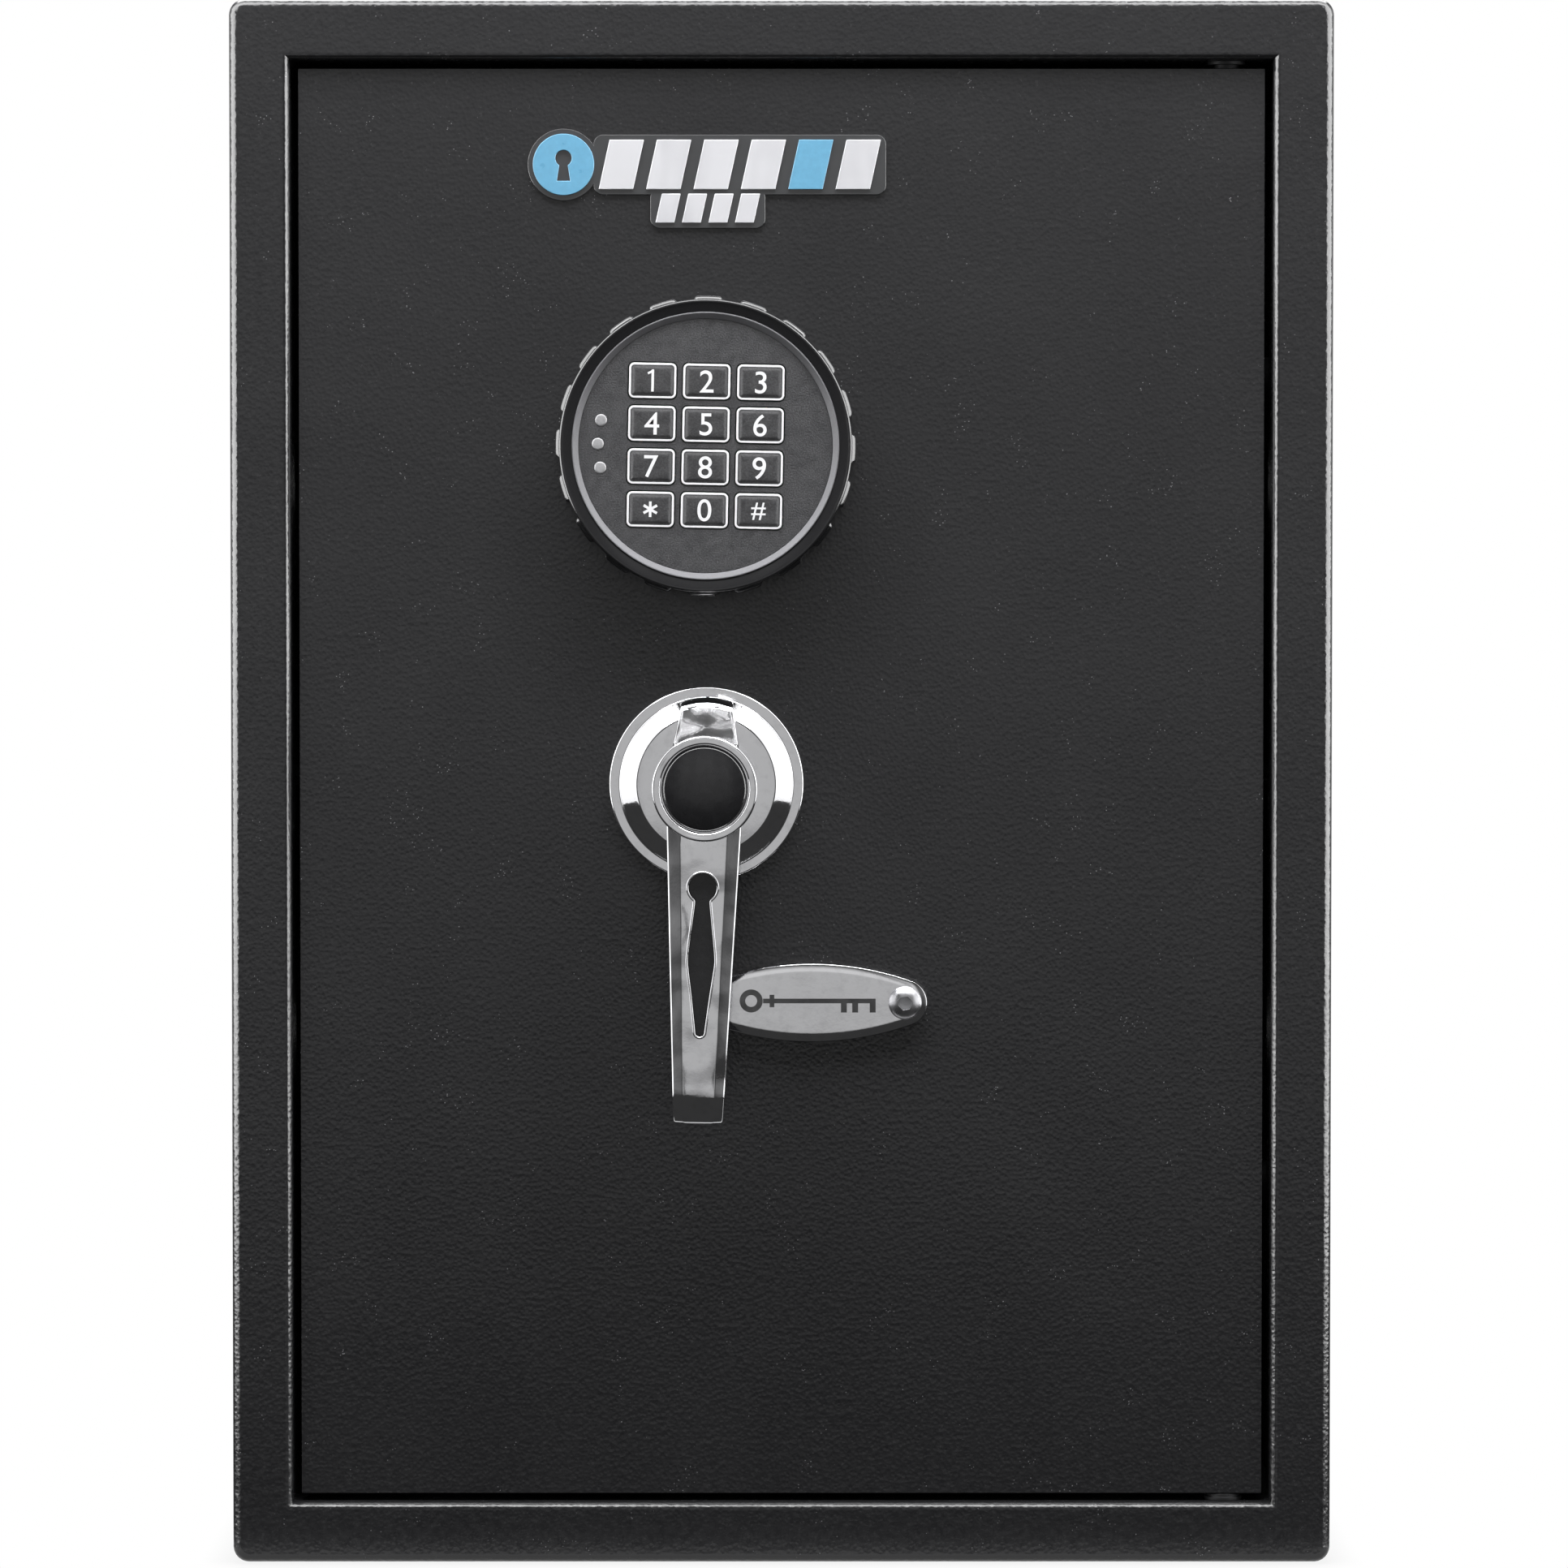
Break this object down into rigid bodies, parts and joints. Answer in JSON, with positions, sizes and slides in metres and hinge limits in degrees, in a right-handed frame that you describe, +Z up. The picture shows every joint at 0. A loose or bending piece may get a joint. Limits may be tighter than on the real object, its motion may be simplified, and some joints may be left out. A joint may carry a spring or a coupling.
{
  "type": "safe",
  "caption": "Upright steel safe with a recessed flush door on a concealed hinge, round keypad, lever handle, covered override lock, sliding locking bolts and a lift-out shelf.",
  "frame": {"origin": "centre of the floor anchor holes, on the underside of the body", "axes": "+X to the right seen from the front, -Y out of the front, +Z up"},
  "size_m": [0.352, 0.357, 0.5],
  "materials": {
    "powder_coat": "fine textured powder coat, semi-matt",
    "inner_coat": "smooth satin paint",
    "bright_chrome": "polished",
    "trim_chrome": "polished trim",
    "black_steel": "blackened and oiled",
    "zinc_steel": "zinc plated",
    "bolt_chrome": "ground and plated bar",
    "bronze": "sintered, oiled",
    "brass": "turned",
    "housing_plastic": "fine grained",
    "face_plastic": "grained",
    "key_plastic": "grained with a printed outline",
    "cap_plastic": "polished",
    "led_lens": "diffuse lens",
    "felt": "needle felt",
    "board_green": "solder mask",
    "loom_sleeve": "sleeved cable",
    "cell_wrap": "plain wrap",
    "coil_paint": "dark case",
    "button_red": "moulded",
    "badge_dark": "clear coated",
    "badge_blue": "enamel",
    "badge_silver": "satin"
  },
  "bodies": {
    "cabinet": {"case_shell": "powder_coat", "back_panel": "powder_coat", "front_frame": "powder_coat", "hinge_bushes": "black_steel", "floor_mat": "felt", "shelf_brackets": "inner_coat"},
    "shelf": {"shelf": "inner_coat", "shelf_mat": "felt"},
    "door": {"door_plate": "powder_coat", "door_inner_cover": "inner_coat", "cover_pillars": "zinc_steel", "cover_screws": "zinc_steel", "hinge_pins": "black_steel", "dead_bolts": "black_steel", "bolt_guides": "zinc_steel", "carrier_guide_screws": "zinc_steel", "handle_rosette": "bright_chrome", "spindle_bush": "bronze", "keypad_base": "housing_plastic", "keypad_housing": "housing_plastic", "keypad_trim_ring": "trim_chrome", "keypad_face": "face_plastic", "indicator_leds": "led_lens", "keypad_board": "board_green", "wiring_loom": "loom_sleeve", "badge_backing": "badge_dark", "badge_emblem": "badge_blue", "badge_bars": "badge_silver", "override_lock_body": "zinc_steel", "solenoid_body": "coil_paint", "battery_tray": "housing_plastic", "battery_cells": "cell_wrap", "control_board": "board_green", "key_cover_screw": "bolt_chrome"},
    "lever": {"lever_handle": "bright_chrome", "lever_cap": "cap_plastic", "spindle": "zinc_steel", "crank": "zinc_steel", "crank_nut": "zinc_steel"},
    "bolts": {"bolt_carrier": "zinc_steel", "locking_bolts": "bolt_chrome", "bolt_screws": "zinc_steel"},
    "override_lock": {"override_plug": "brass", "override_cam": "zinc_steel"},
    "plunger": {"solenoid_plunger": "zinc_steel"},
    "key_cover": {"key_cover": "bright_chrome"},
    "battery_cover": {"battery_cover": "housing_plastic"},
    "reset_button": {"reset_button": "button_red"},
    "key_1": {"key_1": "key_plastic"},
    "key_2": {"key_2": "key_plastic"},
    "key_3": {"key_3": "key_plastic"},
    "key_4": {"key_4": "key_plastic"},
    "key_5": {"key_5": "key_plastic"},
    "key_6": {"key_6": "key_plastic"},
    "key_7": {"key_7": "key_plastic"},
    "key_8": {"key_8": "key_plastic"},
    "key_9": {"key_9": "key_plastic"},
    "key_star": {"key_star": "key_plastic"},
    "key_0": {"key_0": "key_plastic"},
    "key_hash": {"key_hash": "key_plastic"}
  },
  "joints": [
    {"name": "door_hinge", "type": "hinge", "parent": "cabinet", "child": "door", "pos_m": [0.1422, -0.145, 0.25], "axis": [0, 0, 1], "range_deg": [0, 110]},
    {"name": "lever_turn", "type": "hinge", "parent": "door", "child": "lever", "pos_m": [-0.024, -0.16, 0.25], "axis": [0, -1, 0], "range_deg": [0, 80]},
    {"name": "bolt_slide", "type": "slide", "parent": "door", "child": "bolts", "axis": [-1, 0, 0], "range_m": [0, 0.018]},
    {"name": "override_turn", "type": "hinge", "parent": "door", "child": "override_lock", "pos_m": [0.0096, -0.14, 0.18], "axis": [0, 1, 0], "range_deg": [0, 90]},
    {"name": "plunger_slide", "type": "slide", "parent": "door", "child": "plunger", "axis": [0, 0, 1], "range_m": [0, 0.006]},
    {"name": "key_cover_swing", "type": "hinge", "parent": "door", "child": "key_cover", "pos_m": [0.0395, -0.154, 0.18], "axis": [0, -1, 0], "range_deg": [0, 100]},
    {"name": "battery_cover_slide", "type": "slide", "parent": "door", "child": "battery_cover", "axis": [0, 0, 1], "range_m": [0, 0.03]},
    {"name": "reset_press", "type": "slide", "parent": "door", "child": "reset_button", "axis": [0, -1, 0], "range_m": [0, 0.002], "stiffness_N_per_m": 600},
    {"name": "shelf_lift", "type": "slide", "parent": "cabinet", "child": "shelf", "axis": [0, 0, 1], "range_m": [0, 0.03]},
    {"name": "key_1_press", "type": "slide", "parent": "door", "child": "key_1", "axis": [0, 1, 0], "range_m": [0, 0.0008], "stiffness_N_per_m": 500},
    {"name": "key_2_press", "type": "slide", "parent": "door", "child": "key_2", "axis": [0, 1, 0], "range_m": [0, 0.0008], "stiffness_N_per_m": 500},
    {"name": "key_3_press", "type": "slide", "parent": "door", "child": "key_3", "axis": [0, 1, 0], "range_m": [0, 0.0008], "stiffness_N_per_m": 500},
    {"name": "key_4_press", "type": "slide", "parent": "door", "child": "key_4", "axis": [0, 1, 0], "range_m": [0, 0.0008], "stiffness_N_per_m": 500},
    {"name": "key_5_press", "type": "slide", "parent": "door", "child": "key_5", "axis": [0, 1, 0], "range_m": [0, 0.0008], "stiffness_N_per_m": 500},
    {"name": "key_6_press", "type": "slide", "parent": "door", "child": "key_6", "axis": [0, 1, 0], "range_m": [0, 0.0008], "stiffness_N_per_m": 500},
    {"name": "key_7_press", "type": "slide", "parent": "door", "child": "key_7", "axis": [0, 1, 0], "range_m": [0, 0.0008], "stiffness_N_per_m": 500},
    {"name": "key_8_press", "type": "slide", "parent": "door", "child": "key_8", "axis": [0, 1, 0], "range_m": [0, 0.0008], "stiffness_N_per_m": 500},
    {"name": "key_9_press", "type": "slide", "parent": "door", "child": "key_9", "axis": [0, 1, 0], "range_m": [0, 0.0008], "stiffness_N_per_m": 500},
    {"name": "key_star_press", "type": "slide", "parent": "door", "child": "key_star", "axis": [0, 1, 0], "range_m": [0, 0.0008], "stiffness_N_per_m": 500},
    {"name": "key_0_press", "type": "slide", "parent": "door", "child": "key_0", "axis": [0, 1, 0], "range_m": [0, 0.0008], "stiffness_N_per_m": 500},
    {"name": "key_hash_press", "type": "slide", "parent": "door", "child": "key_hash", "axis": [0, 1, 0], "range_m": [0, 0.0008], "stiffness_N_per_m": 500}
  ],
  "couplings": [
    {"joint": "bolt_slide", "follows": "lever_turn", "m_per_rad": 0.01289}
  ]
}
